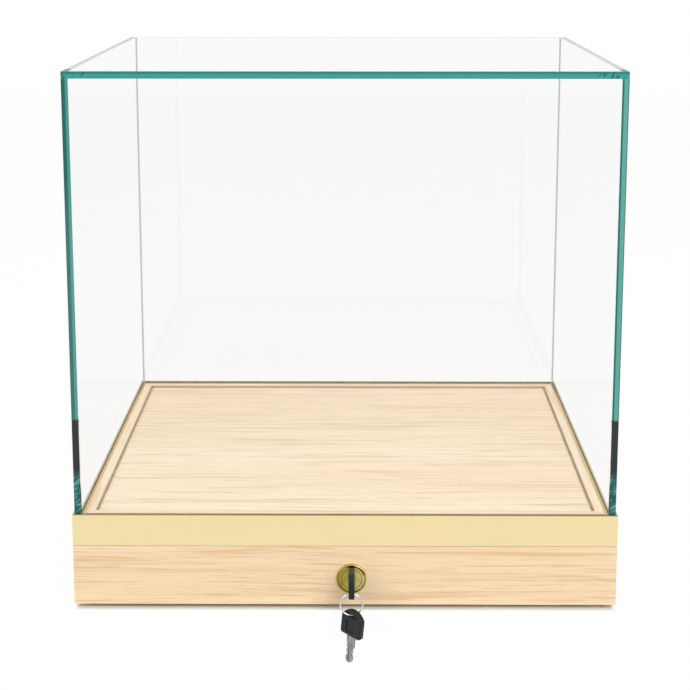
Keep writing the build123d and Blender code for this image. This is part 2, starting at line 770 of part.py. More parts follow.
# Hood: the wooden lining, with holes for the catch's and the hinges' screws
lining_outline = rectangle_outline(inner_wall_inside, lining_inside, frame_bottom, lining_top)
lining_holes = {
    "front": [catch_x + x for x in catch_screw_x],
    "back": [middle + x for middle in hinge_centres.values() for x in hinge_hood_screw_x],
}
lining_hole_y = {"front": -lining_middle, "back": lining_middle}
lining_hole_radius = {"front": small_screw_radius, "back": hinge_screw_radius}
for side, turn in SIDES.items():
    with BuildPart() as lining:
        mitred_run(turn, lining_outline)
        for x in lining_holes.get(side, []):
            pilot_hole(facing_down(x, lining_hole_y[side], frame_bottom),
                       lining_hole_radius[side], hinge_screw_length)
    save(lining.part, f"lining_{side}")

# Hood: five glass panels with ground edges, the tape and the blocks that bed them
with BuildPart() as glass_top:
    slab((-glass_outside, -glass_outside, glass_ceiling),
         (glass_outside, glass_outside, case_height))
    chamfer(glass_top.edges(), length=glass_arris)
save(glass_top.part, "glass_top")

for hand, side in HANDS.items():
    with BuildPart() as glass_side:
        xs = sorted((side * glass_inside, side * glass_outside))
        slab((xs[0], -glass_outside, glass_bottom), (xs[1], glass_outside, glass_ceiling))
        chamfer(glass_side.edges().filter_by(Axis.Z), length=glass_arris)
    save(glass_side.part, f"glass_{hand}")

for name, side in (("front", -1), ("back", 1)):
    with BuildPart() as glass_end:
        ys = sorted((side * glass_inside, side * glass_outside))
        slab((-glass_inside, ys[0], glass_bottom), (glass_inside, ys[1], glass_ceiling))
        chamfer(glass_end.edges().filter_by(Axis.X).group_by(Axis.Z)[0], length=glass_arris)
    save(glass_end.part, f"glass_{name}")

with BuildPart() as glazing_tape:
    tape_middle = (glass_inside + inner_wall_outside) / 2
    tape_low = floor_top + tape_above_floor
    tape_length = 2 * (glass_inside - tape_short_of_corner)
    for side in (-1, 1):
        for x, y, wide, deep in ((side * tape_middle, 0, tape_thickness, tape_length),
                                 (0, side * tape_middle, tape_length, tape_thickness)):
            with Locations((x, y, tape_low)):
                Box(wide, deep, inner_wall_top - tape_low - tape_below_wall, align=ON_TOP)
save(glazing_tape.part, "glazing_tape")

with BuildPart() as setting_blocks:
    for side in (-1, 1):
        for reach in (-setting_block_along, setting_block_along):
            for x, y, wide, deep in (
                    (side * glass_middle, reach, glass_thickness, setting_block_length),
                    (reach, side * glass_middle, setting_block_length, glass_thickness)):
                with Locations((x, y, floor_top)):
                    Box(wide, deep, setting_block_height, align=ON_TOP)
save(setting_blocks.part, "setting_blocks")

# Hood: the catch that the cam turns over, and its screws up into the front lining
flange_bottom = frame_bottom - catch_thickness
with BuildPart() as catch_plate:
    slab((catch_x, leg_y, flange_bottom), (catch_x + catch_width, -leaf_front, frame_bottom))
    slab((catch_x, leg_y, foot_top_z - catch_thickness),
         (catch_x + catch_width, leg_y + catch_thickness, frame_bottom))
    slab((catch_x, leg_y, foot_top_z - catch_thickness),
         (catch_x + catch_width, -leaf_front, foot_top_z))
    for x in catch_screw_x:
        countersunk_hole(facing_down(catch_x + x, -lining_middle, flange_bottom),
                         small_screw_radius, catch_thickness + overcut)
save(catch_plate.part, "catch_plate")

with BuildPart() as catch_screws:
    for x in catch_screw_x:
        countersunk_screw(facing_down(catch_x + x, -lining_middle, flange_bottom),
                          small_screw_radius, catch_screw_length)
save(catch_screws.part, "catch_screws")

# Places that the joints turn and slide about
print("hood axis", axis_y, axis_z)
print("lock axis", lock_x, lock_z, "key shoulder", key_shoulder)
print("ring axis", lock_x, slot_y, ring_top_z, "spare axis", lock_x, slot_y, ring_bottom_z)
print("deck top", deck_top, "glass inside", glass_inside, "lining top", lining_top)
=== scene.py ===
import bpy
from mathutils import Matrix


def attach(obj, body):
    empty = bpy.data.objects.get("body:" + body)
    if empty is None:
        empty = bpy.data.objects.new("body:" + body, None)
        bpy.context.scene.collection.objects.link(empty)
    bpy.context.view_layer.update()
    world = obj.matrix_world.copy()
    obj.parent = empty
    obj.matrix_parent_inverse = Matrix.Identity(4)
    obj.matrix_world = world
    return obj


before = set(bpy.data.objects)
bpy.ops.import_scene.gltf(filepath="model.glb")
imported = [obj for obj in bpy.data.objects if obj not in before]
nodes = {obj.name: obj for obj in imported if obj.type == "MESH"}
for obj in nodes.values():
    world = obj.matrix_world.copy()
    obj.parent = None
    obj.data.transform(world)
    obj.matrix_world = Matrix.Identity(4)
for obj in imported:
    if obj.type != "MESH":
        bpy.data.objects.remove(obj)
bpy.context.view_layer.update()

import math

import bpy
import numpy as np

# %% [markdown]
# ## The camera
# The case is seen from the front and from above. Its place, tilt and lens were fitted by least
# squares to the corners of the base and the hood, which is surer than turning it by eye.
# %% Set up the camera
LENS_MM = 93.98
eye = bpy.data.cameras.new("eye")
eye.lens = LENS_MM
eye.shift_y = -0.06
camera = bpy.data.objects.new("camera", eye)
camera.location = (0.0094, -1.4587, 0.4944)
camera.rotation_euler = (math.radians(90 - 11.849), 0, math.radians(0.422))
bpy.context.scene.collection.objects.link(camera)
bpy.context.scene.camera = camera
bpy.context.scene.view_settings.view_transform = "Standard"
print("lens", LENS_MM, "mm at", tuple(camera.location))

# %% [markdown]
# ## A short way to write materials
# A material is a graph. Clicking one together is easy to see but hard to repeat, so three helpers
# write it in words instead: one adds a node and fills its sockets, one turns a colour as a paint
# maker reads it (0 to 255) into the linear numbers that light is worked out with, and one starts
# an empty material with its surface socket ready.
# %% Material helpers
def paint(red, green, blue):
    """Linear colour of an sRGB one: c / 12.92 when dark, else ((c + 0.055) / 1.055) to the 2.4."""
    c = np.array([red, green, blue]) / 255
    linear = np.where(c < 0.04045, c / 12.92, ((c + 0.055) / 1.055) ** 2.4)
    return (*[float(v) for v in linear], 1.0)


def add(tree, kind, sockets=None, **settings):
    """Adds a node and fills its sockets with plain values or with other nodes' outputs."""
    made = tree.nodes.new("ShaderNode" + kind)
    for key, value in settings.items():
        setattr(made, key, value)
    for key, value in (sockets or {}).items():
        if isinstance(value, bpy.types.NodeSocket):
            tree.links.new(value, made.inputs[key])
        else:
            made.inputs[key].default_value = value
    return made


def material(name):
    """An empty material, and the socket that takes its surface."""
    made = bpy.data.materials.new(name)
    made.use_nodes = True
    made.node_tree.nodes.clear()
    return made, made.node_tree, add(made.node_tree, "OutputMaterial").inputs["Surface"]


def blend(tree, factor, low, high):
    """Colour between two, by a factor of 0 to 1."""
    mix = add(tree, "Mix", data_type="RGBA")
    for socket, value in ((mix.inputs[0], factor), (mix.inputs[6], low), (mix.inputs[7], high)):
        if isinstance(value, bpy.types.NodeSocket):
            tree.links.new(value, socket)
        else:
            socket.default_value = value
    return mix.outputs[2]


def between(tree, value, low, high, to_low=0.0, to_high=1.0):
    """Smooth step of a value: to_low under low, to_high over high."""
    return add(tree, "MapRange", {"Value": value, "From Min": low, "From Max": high,
                                  "To Min": to_low, "To Max": to_high},
               interpolation_type="SMOOTHSTEP").outputs[0]


def work_out(tree, operation, *values):
    """One step of arithmetic on numbers."""
    made = add(tree, "Math", operation=operation)
    for socket, value in zip(made.inputs, values):
        if isinstance(value, bpy.types.NodeSocket):
            tree.links.new(value, socket)
        else:
            socket.default_value = value
    return made.outputs[0]


def streaks(tree, per_metre, detail=3.0, roughness=0.5, bend=0.0):
    """Noise on the piece's own coordinates, stretched by a number of features a metre each way."""
    place = add(tree, "TexCoord").outputs["Object"]
    scaled = add(tree, "Mapping", {"Vector": place, "Scale": per_metre}).outputs[0]
    return add(tree, "TexNoise", {"Vector": scaled, "Scale": 1.0, "Detail": detail,
                                  "Roughness": roughness, "Distortion": bend}).outputs[0]


def sideways(tree, at):
    """|x|, |y| and the larger of the two, which is the reach from the middle of a square."""
    wide = work_out(tree, "ABSOLUTE", at["X"])
    deep = work_out(tree, "ABSOLUTE", at["Y"])
    return wide, deep, work_out(tree, "MAXIMUM", wide, deep)


def seeing(tree):
    """1 for the rays of the camera, of mirrors and of glass, else 0."""
    paths = add(tree, "LightPath").outputs
    return work_out(tree, "MAXIMUM", paths["Is Camera Ray"],
                    work_out(tree, "MAXIMUM", paths["Is Glossy Ray"],
                             paths["Is Transmission Ray"]))


def roughened(tree, height, distance, strength=1.0):
    """Normal of a surface with a pattern raised by a distance in metres."""
    return add(tree, "Bump", {"Height": height, "Distance": distance, "Strength": strength}).outputs[0]


def dress(surface, *names):
    """Gives one finish to solids by name."""
    for name in names:
        nodes[name].data.materials.clear()
        nodes[name].data.materials.append(surface)


# %% [markdown]
# ## Oak
# Pale oak veneer has fine darker streaks that run with the grain, short pores between them and a
# slow drift of tone from one part of the board to the next. A picture of a board would tile and
# smear at the corners. Noise that is stretched along the grain gives the same layers at any size,
# and each mitred board gets its grain along its own length.
# %% Oak finish
MITRE_LINE = (0.0002, 0.0006)
SHADED_INNER_EDGE = (0.1846, 0.185)
WANDER = 0.007


def oak(name, along, fineness, pale, middle, dark, sawn_and_shade=None, mitred=False):
    """Oak: four noises, each stretched along the grain, laid over each other. The place across the
    grain is moved aside by a slow noise first, so that the lines wander. Upright faces take part
    of a greyer tone, which is the sawn edge and also painted shade of the gap round the deck. A
    mitred strip has a thin joint line in that tone where |x| = |y|, and its inner edge is painted
    in it fully as shade of the gap."""
    surface, tree, out = material(name)
    place = add(tree, "SeparateXYZ", {"Vector": add(tree, "TexCoord").outputs["Object"]})
    wander = streaks(tree, (5.0, 5.0, 5.0), detail=1.0)
    aside = work_out(tree, "MULTIPLY", work_out(tree, "SUBTRACT", wander, 0.5), WANDER)
    moved = {axis: place.outputs[axis.upper()] if axis == along
             else work_out(tree, "ADD", place.outputs[axis.upper()], aside) for axis in "xyz"}
    wood_place = add(tree, "CombineXYZ", {axis.upper(): moved[axis] for axis in "xyz"}).outputs[0]

    def grain(length, width, detail, roughness):
        scale = (length, width, width) if along == "x" else (width, length, width)
        scaled = add(tree, "Mapping", {"Vector": wood_place, "Scale": scale}).outputs[0]
        return add(tree, "TexNoise", {"Vector": scaled, "Scale": 1.0, "Detail": detail,
                                      "Roughness": roughness}).outputs[0]

    drift = grain(1.4, 18 * fineness, 1.0, 0.5)
    broad = grain(4.0, 130 * fineness, 3.0, 0.65)
    lines = grain(9.0, 430 * fineness, 3.0, 0.7)
    pores = grain(40.0, 1500 * fineness, 1.0, 0.5)
    toned = blend(tree, between(tree, drift, 0.35, 0.65), pale, middle)
    banded = blend(tree, between(tree, broad, 0.5, 0.7, 0.0, 0.45), toned, dark)
    lined = blend(tree, between(tree, lines, 0.51, 0.63, 0.0, 0.95), banded, dark)
    pored = blend(tree, between(tree, pores, 0.6, 0.7, 0.0, 0.55), lined, dark)
    if sawn_and_shade:
        # Upright faces: a greyer tone, partly sawn edge and partly painted shade of the gap round the
        # deck
        looks = add(tree, "SeparateXYZ", {"Vector": add(tree, "TexCoord").outputs["Normal"]})
        flat = between(tree, work_out(tree, "ABSOLUTE", looks.outputs["Z"]), 0.4, 0.6, 0.55, 1.0)
        pored = blend(tree, flat, sawn_and_shade, pored)
    if mitred:
        wide, deep, reach = sideways(tree, place.outputs)
        off = work_out(tree, "ABSOLUTE", work_out(tree, "SUBTRACT", wide, deep))
        pored = blend(tree, between(tree, off, *MITRE_LINE, 0.7, 0.0), pored, sawn_and_shade)
        # Inner edge of a lining strip: painted shade of the gap between lining and deck
        pored = blend(tree, between(tree, reach, *SHADED_INNER_EDGE, 1.0, 0.0), pored, sawn_and_shade)
    height = work_out(tree, "SUBTRACT", between(tree, lines, 0.35, 0.7),
                      between(tree, pores, 0.62, 0.74))
    wood = add(tree, "BsdfPrincipled", {
        "Base Color": pored, "Roughness": 0.52, "Specular IOR Level": 0.35,
        "Normal": roughened(tree, height, 0.00004, 0.4)})
    tree.links.new(wood.outputs[0], out)
    return surface


DECK_TONES = (paint(253, 234, 205), paint(250, 226, 195), paint(232, 205, 171))
BOARD_TONES = (paint(255, 232, 196), paint(252, 224, 185), paint(234, 199, 154))
# Greyer tone of sawn edges, deepened as painted shade of the gap round the deck
SAWN_AND_GAP_SHADE = paint(196, 174, 148)
deck_oak = oak("deck_oak", "x", 0.62, *DECK_TONES, sawn_and_shade=SAWN_AND_GAP_SHADE)
rim_oak = oak("rim_oak", "x", 0.7, *DECK_TONES, sawn_and_shade=SAWN_AND_GAP_SHADE, mitred=True)
rim_side_oak = oak("rim_side_oak", "y", 0.7, *DECK_TONES, sawn_and_shade=SAWN_AND_GAP_SHADE, mitred=True)
board_oak = oak("board_oak", "x", 1.0, *BOARD_TONES)
side_oak = oak("side_oak", "y", 1.0, *BOARD_TONES)
dress(deck_oak, "deck_panel")
dress(board_oak, "apron_front", "apron_back")
dress(side_oak, "apron_left", "apron_right")
dress(rim_oak, "lining_front", "lining_back")
dress(rim_side_oak, "lining_left", "lining_right")
print("oak on the deck, four boards and four lining strips")

# %% [markdown]
# ## Plywood
# The panel, blocks and battens inside the base are birch plywood: thin plies in turn pale and
# brown, seen on the edges. A sawtooth of the height gives the plies.
# %% Plywood finish
def plywood(name):
    """Plywood: bands of 1.5 mm by height, over a faint grain."""
    surface, tree, out = material(name)
    place = add(tree, "TexCoord").outputs["Object"]
    height = add(tree, "SeparateXYZ", {"Vector": place}).outputs["Z"]
    ply = work_out(tree, "PINGPONG", height, 0.0015)
    bands = between(tree, ply, 0.0006, 0.0009)
    grain = streaks(tree, (8.0, 180.0, 180.0), detail=3.0)
    faced = blend(tree, bands, paint(226, 196, 150), paint(188, 150, 104))
    wood = add(tree, "BsdfPrincipled", {
        "Base Color": blend(tree, between(tree, grain, 0.4, 0.7, 0.0, 0.5), faced,
                            paint(206, 170, 122)),
        "Roughness": 0.7, "Normal": roughened(tree, grain, 0.0001, 0.4)})
    tree.links.new(wood.outputs[0], out)
    return surface


dress(plywood("plywood"), "bottom_panel", "corner_blocks", "batten_left", "batten_right",
      "batten_back", "batten_front_left", "batten_front_right")

# %% [markdown]
# ## Metals
# The channel is satin anodised in pale gold, the hinges are satin brass, the screws and the catch
# are zinc plated, and the key blades and the ring are nickel. All are one recipe: a metal whose
# fine brush lines come from noise stretched along the bar, and whose roughness drifts a little,
# because no real metal is evenly bright. Nickel has deep contrast between its lines: its dark
# lines are painted shade of the grooves that milling leaves in a blade.
# %% Metal finishes
WALL_TOP = 0.0716
INNER_WALL = 0.1936
DEEP_GOLD = paint(206, 180, 112)


def metal(name, tone, roughness, lines=(30.0, 2500.0, 2500.0), relief=0.000004, drift=0.03,
          contrast=0.97, shade=None):
    """Metal of one tone, with brush lines and a roughness that drifts by a small amount. The thin
    top of the channel's outer wall is darkened by the factor shade as painted shade, and its inner
    wall is a deeper gold."""
    surface, tree, out = material(name)
    brushed = streaks(tree, lines, detail=2.0)
    cloudy = streaks(tree, (14.0, 14.0, 14.0), detail=2.0)
    darker = tuple([contrast * c for c in tone[:3]] + [1.0])
    colour = blend(tree, between(tree, brushed, 0.3, 0.7), darker, tone)
    if shade:
        at = add(tree, "SeparateXYZ", {"Vector": add(tree, "TexCoord").outputs["Object"]}).outputs
        reach = sideways(tree, at)[2]
        colour = blend(tree, work_out(tree, "LESS_THAN", reach, INNER_WALL), colour, DEEP_GOLD)
        # Painted shade: the thin top of the outer wall is darkened by the factor shade
        colour = blend(tree, work_out(tree, "GREATER_THAN", at["Z"], WALL_TOP), colour,
                       tuple([shade * c for c in tone[:3]] + [1.0]))
    plate = add(tree, "BsdfPrincipled", {
        "Base Color": colour,
        "Metallic": 1.0,
        "Roughness": between(tree, cloudy, 0.3, 0.7, roughness - drift, roughness + drift),
        "Normal": roughened(tree, brushed, relief, 0.6)})
    tree.links.new(plate.outputs[0], out)
    return surface


GILT = paint(242, 222, 171)
gilt = metal("gilt", GILT, 0.36, shade=0.28)
gilt_side = metal("gilt_side", GILT, 0.36, lines=(2500.0, 30.0, 2500.0), shade=0.6)
hinge_brass = metal("hinge_brass", paint(214, 186, 112), 0.3)
zinc = metal("zinc", paint(200, 203, 206), 0.32, lines=(400.0, 400.0, 400.0))
# The nickel's dark lines, at contrast 0.22, are painted shade of milled grooves
nickel = metal("nickel", paint(186, 185, 183), 0.22, lines=(1300.0, 1300.0, 60.0), contrast=0.22)
wire = metal("wire", paint(214, 212, 208), 0.16, lines=(700.0, 700.0, 700.0))
dress(gilt, "frame_front", "frame_back")
dress(gilt_side, "frame_left", "frame_right")
dress(hinge_brass, "hinge_base_leaf_left", "hinge_base_leaf_right", "hinge_hood_leaf_left",
      "hinge_hood_leaf_right", "hinge_pins", "hinge_base_screws", "hinge_hood_screws")
dress(zinc, "deck_screws", "bottom_screws", "foot_screws", "frame_corner_keys", "catch_plate",
      "catch_screws", "lock_washer", "lock_nut", "lock_cam", "cam_screw")
dress(nickel, "key_blade", "spare_key_blade")
dress(wire, "key_ring")

# %% [markdown]
# ## The lock's brass
# The cap and the plug were turned on a lathe, so their tool marks are rings round the lock's own
# axis. The cap is dished, and a dark curve on the upper right of the dish is painted shade and
# reflection of its rim; a thin dark circle shows where the plug turns in its housing. All three are
# worked out from the distance to the axis, which makes them stay true when the plug turns. The
# brass is also painted darker on the left and paler on the right, as light from the right.
# %% Turned brass
LOCK_X, LOCK_Z = 0.005, 0.0234
PLUG_RADIUS = 0.0076
DISH_LOW, DISH_HIGH = 0.0088, 0.0108
DISH_FADE = 0.0003
JOINT_LINE = (0.00012, 0.0003)


def turned_brass(name, dished):
    """Brass with rings by distance r from the lock's axis, r = root of (x' squared + z' squared)."""
    surface, tree, out = material(name)
    at = add(tree, "SeparateXYZ", {"Vector": add(tree, "TexCoord").outputs["Object"]}).outputs
    right = work_out(tree, "SUBTRACT", at["X"], LOCK_X)
    up = work_out(tree, "SUBTRACT", at["Z"], LOCK_Z)
    squared = work_out(tree, "ADD", work_out(tree, "MULTIPLY", right, right),
                       work_out(tree, "MULTIPLY", up, up))
    radius = work_out(tree, "SQRT", squared)
    rings = add(tree, "TexNoise", {"Vector": add(tree, "CombineXYZ", {"X": radius}).outputs[0],
                                   "Scale": 2600.0, "Detail": 2.0}).outputs[0]
    # Painted light: darker olive on the left, paler on the right, as from a lamp on the right
    tone = blend(tree, between(tree, right, -0.009, 0.007), paint(170, 151, 62),
                 paint(206, 190, 122))
    tone = blend(tree, between(tree, rings, 0.4, 0.65, 0.0, 0.3), tone, paint(128, 108, 34))
    if dished:
        # Painted shade and reflection of the rim: a dark curve on the upper right of the dish
        band = work_out(tree, "MULTIPLY", between(tree, radius, DISH_LOW, DISH_LOW + DISH_FADE),
                        between(tree, radius, DISH_HIGH - DISH_FADE, DISH_HIGH, 1.0, 0.0))
        turn = work_out(tree, "ARCTAN2", right, up)
        arc = work_out(tree, "MULTIPLY", between(tree, turn, -0.5, -0.3),
                       between(tree, turn, 1.1, 1.4, 1.0, 0.0))
        shade_curve = work_out(tree, "MULTIPLY", work_out(tree, "MULTIPLY", band, arc), 0.85)
        tone = blend(tree, shade_curve, tone, paint(84, 66, 10))
    off = work_out(tree, "ABSOLUTE", work_out(tree, "SUBTRACT", radius, PLUG_RADIUS))
    joint = between(tree, off, *JOINT_LINE, 0.85, 0.0)
    plate = add(tree, "BsdfPrincipled", {
        "Base Color": blend(tree, joint, tone, paint(84, 66, 14)), "Metallic": 1.0,
        "Roughness": between(tree, rings, 0.3, 0.7, 0.17, 0.25),
        "Normal": roughened(tree, rings, 0.00001, 0.5)})
    tree.links.new(plate.outputs[0], out)
    return surface


dress(turned_brass("cap_brass", True), "lock_housing")
dress(turned_brass("plug_brass", False), "lock_plug", "lock_wafers")

# %% [markdown]
# ## Plastic, rubber and tape
# The key heads are black plastic from a mould that was lightly spark eroded, so they have a fine
# pebbled skin. The feet and pads are matt rubber, and the tape is grey foam.
# %% Moulded finishes
def moulded(name, tone, roughness, pebble, relief):
    """Moulded skin: one tone, lightened a little by noise, and pebbled at a given scale."""
    surface, tree, out = material(name)
    skin = streaks(tree, (pebble, pebble, pebble), detail=3.0)
    cloudy = streaks(tree, (120.0, 120.0, 120.0), detail=2.0)
    lighter = tuple([min(1.0, 1.35 * c) for c in tone[:3]] + [1.0])
    body = add(tree, "BsdfPrincipled", {
        "Base Color": blend(tree, between(tree, cloudy, 0.35, 0.7), tone, lighter),
        "Roughness": between(tree, skin, 0.3, 0.7, roughness - 0.05, roughness + 0.05),
        "Specular IOR Level": 0.3,
        "Normal": roughened(tree, skin, relief, 0.5)})
    tree.links.new(body.outputs[0], out)
    return surface


black_plastic = moulded("black_plastic", paint(13, 18, 21), 0.36, 2600.0, 0.00002)
rubber = moulded("rubber", paint(34, 34, 34), 0.75, 1500.0, 0.00005)
foam = moulded("foam", paint(150, 153, 150), 0.85, 1800.0, 0.00005)
dress(black_plastic, "key_head", "spare_key_head")
dress(rubber, "rubber_feet", "buffer_pads", "setting_blocks")
dress(foam, "glazing_tape")

# %% [markdown]
# ## A strip of painted shade round the deck
# A taupe line runs all round the deck, between it and the lining, where the gap lies in shade. A
# thin taupe strip fills that gap as painted shade; it is fixed to the base, so it stays when the
# hood lifts. A profile is carried round a square: each corner takes the same distances along both
# sides, which gives true mitres.
# %% Shade strip
def square_ring(name, profile):
    """Ring round the origin: corner k of the square times profile point (reach, height)."""
    reach, height = np.array(profile).T
    signs = np.array([(-1, -1), (1, -1), (1, 1), (-1, 1)])
    points = np.concatenate([np.stack([sx * reach, sy * reach, height], axis=1)
                             for sx, sy in signs])
    count = len(profile)
    corner, step = np.meshgrid(np.arange(4), np.arange(count), indexing="ij")
    here, there = corner * count, (corner + 1) % 4 * count
    after = (step + 1) % count
    faces = np.stack([here + step, here + after, there + after, there + step], axis=-1)
    mesh = bpy.data.meshes.new(name)
    mesh.from_pydata(points.tolist(), [], faces.reshape(-1, 4).tolist())
    made = bpy.data.objects.new(name, mesh)
    bpy.context.scene.collection.objects.link(made)
    return made


STRIP_IN, STRIP_OUT = 0.18302, 0.1841
STRIP_LOW, STRIP_TOP = 0.0660, 0.0689
STRIP_ROUND = 0.0003
shade_strip = square_ring("shade_strip", [
    (STRIP_IN, STRIP_LOW), (STRIP_OUT, STRIP_LOW), (STRIP_OUT, STRIP_TOP - STRIP_ROUND),
    (STRIP_OUT - STRIP_ROUND, STRIP_TOP), (STRIP_IN, STRIP_TOP)])
# Painted shade: the strip's taupe tone stands for the shaded gap between deck and lining
shade_strip.data.materials.append(moulded("gap_shade", paint(206, 184, 158), 0.95, 3000.0, 0.0001))
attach(shade_strip, "base")
print("felt strip", tuple(shade_strip.dimensions))

# %% [markdown]
# ## Glass
# Float glass is clear through its face and deep green through its edge, where light has come a
# long way inside the pane. Seen nearly along its face, a pane looks much thinner than it is,
# because light bends as it goes in, so the view through a face is truly refracted. Lamps would
# not get through that, and what stands in the case would go dark, so their light meets plain
# windows. Five panes are bonded into one body: where two of them touch there is no surface for
# light to meet, and those places let it pass unbent. The edges are painted darker and lighter by
# height: a near-black band low on the uprights is a painted reflection, and each edge is paler on
# its right side as painted light from the right.
# %% Panes
OUTSIDE, INSIDE, CEILING = 0.1984, 0.1934, 0.390
TINT = (0.986, 0.987, 0.9865, 1.0)
GLASS_IOR = 1.5
MIRROR_MOST = 0.05
DARK_CORNER = -0.176
TOUCH = 0.00002
SKIN = 0.0002
SEAM_WIDTH = 0.0014
WHITE = (1.0, 1.0, 1.0, 1.0)


def face_of_glass(tree, inside):
    """A pane's face. Sight is refracted, with Fresnel's share of gloss on the way in, at most 5%,
    and turned back past the critical angle on the way out. Other light goes straight through."""
    paths = add(tree, "LightPath")
    sight = work_out(tree, "MAXIMUM", paths.outputs["Is Camera Ray"],
                     paths.outputs["Is Transmission Ray"])
    window = add(tree, "BsdfTransparent", {"Color": TINT})
    bent = add(tree, "BsdfRefraction", {"Color": TINT, "Roughness": 0.0, "IOR": GLASS_IOR})
    mirror = add(tree, "BsdfGlossy", {"Color": WHITE, "Roughness": 0.0})
    gloss = work_out(tree, "MINIMUM", add(tree, "Fresnel", {"IOR": GLASS_IOR}).outputs[0],
                     MIRROR_MOST)
    entering = work_out(tree, "MULTIPLY", gloss, work_out(tree, "SUBTRACT", 1.0, inside))
    critical = 1 - math.sqrt(1 - 1 / GLASS_IOR ** 2)
    aslant = work_out(tree, "GREATER_THAN",
                      add(tree, "LayerWeight", {"Blend": 0.5}).outputs["Facing"], critical)
    turned = work_out(tree, "MULTIPLY", aslant, inside)
    glossed = add(tree, "MixShader", {0: work_out(tree, "MAXIMUM", entering, turned),
                                      1: bent.outputs[0], 2: mirror.outputs[0]})
    return add(tree, "MixShader", {0: sight, 1: window.outputs[0], 2: glossed.outputs[0]}).outputs[0]


def glass(name, edge_axes, bonded, seam, pattern):
    """A pane's whole finish: faces, with the pale seam where two panes meet, which is painted dark
    as shade near the top's front corners, painted edges along the given axes, and nothing at all
    where the pane is bonded to its neighbour."""
    surface, tree, out = material(name)
    coords = add(tree, "TexCoord")
    at = add(tree, "SeparateXYZ", {"Vector": coords.outputs["Object"]}).outputs
    facing = add(tree, "SeparateXYZ", {"Vector": coords.outputs["Normal"]}).outputs
    across, along, _ = sideways(tree, at)
    inside = add(tree, "NewGeometry").outputs["Backfacing"]
    # Painted shade: the pale seam turns dark grey near the top's front corners
    corner = work_out(tree, "MULTIPLY", work_out(tree, "LESS_THAN", at["Y"], DARK_CORNER),
                      work_out(tree, "GREATER_THAN", at["Z"], CEILING))
    glue = add(tree, "BsdfPrincipled", {
        "Base Color": blend(tree, corner, paint(178, 194, 189), paint(84, 96, 94)),
        "Roughness": 0.4})
    face = add(tree, "MixShader", {0: seam(tree, across, along, at, facing),
                                   1: face_of_glass(tree, inside), 2: glue.outputs[0]})
    colour, faint = pattern(tree, coords.outputs["Object"], across, at)
    ground = add(tree, "BsdfPrincipled", {"Base Color": colour, "Roughness": 0.3,
                                          "Specular IOR Level": 0.15})
    clear = add(tree, "BsdfTransparent", {"Color": WHITE})
    rim = add(tree, "MixShader", {0: work_out(tree, "MULTIPLY", inside, faint),
                                  1: ground.outputs[0], 2: clear.outputs[0]})
    on_edge = 0.0
    for axis in edge_axes:
        looks = work_out(tree, "ABSOLUTE", facing[axis.upper()])
        on_edge = work_out(tree, "MAXIMUM", on_edge, work_out(tree, "GREATER_THAN", looks, 0.5))
    shown = add(tree, "MixShader", {0: on_edge, 1: face.outputs[0], 2: rim.outputs[0]})
    whole = add(tree, "MixShader", {0: bonded(tree, across, along, facing),
                                    1: shown.outputs[0], 2: clear.outputs[0]})
    tree.links.new(whole.outputs[0], out)
    return surface


# %% The uprights: left and right panes run the full depth, the others stand between them
HIGH_UP = (0.27, 0.33)
REFLECTION_BAND_TOP = (0.1425, 0.1445)
STREAKS_TOP = (0.098, 0.106)


def side_bonded(tree, across, along, facing):
    """The top of a side pane, and its inner face beside the end panes."""
    top = work_out(tree, "GREATER_THAN", facing["Z"], 0.5)
    past = work_out(tree, "GREATER_THAN", along, INSIDE + TOUCH)
    inner = work_out(tree, "LESS_THAN", across, INSIDE + TOUCH)
    return work_out(tree, "MAXIMUM", top, work_out(tree, "MULTIPLY", past, inner))


def side_seam(tree, across, along, at, facing):
    """A pale line of glue on the inner face, next to the rear pane."""
    inner = work_out(tree, "LESS_THAN", across, INSIDE + SKIN)
    near = work_out(tree, "GREATER_THAN", at["Y"], INSIDE - SEAM_WIDTH)
    return work_out(tree, "MULTIPLY", work_out(tree, "MULTIPLY", inner, near), 0.6)


def end_bonded(tree, across, along, facing):
    """The two ends and the top of an end pane."""
    end = work_out(tree, "GREATER_THAN", work_out(tree, "ABSOLUTE", facing["X"]), 0.5)
    return work_out(tree, "MAXIMUM", end, work_out(tree, "GREATER_THAN", facing["Z"], 0.5))


def end_seam(tree, across, along, at, facing):
    """A pale line of glue on the rear pane's inner face, next to each side pane."""
    inner = work_out(tree, "LESS_THAN", along, INSIDE + SKIN)
    rear = work_out(tree, "MULTIPLY", inner, work_out(tree, "GREATER_THAN", at["Y"], 0.0))
    near = work_out(tree, "GREATER_THAN", across, INSIDE - SEAM_WIDTH)
    return work_out(tree, "MULTIPLY", work_out(tree, "MULTIPLY", rear, near), 0.85)


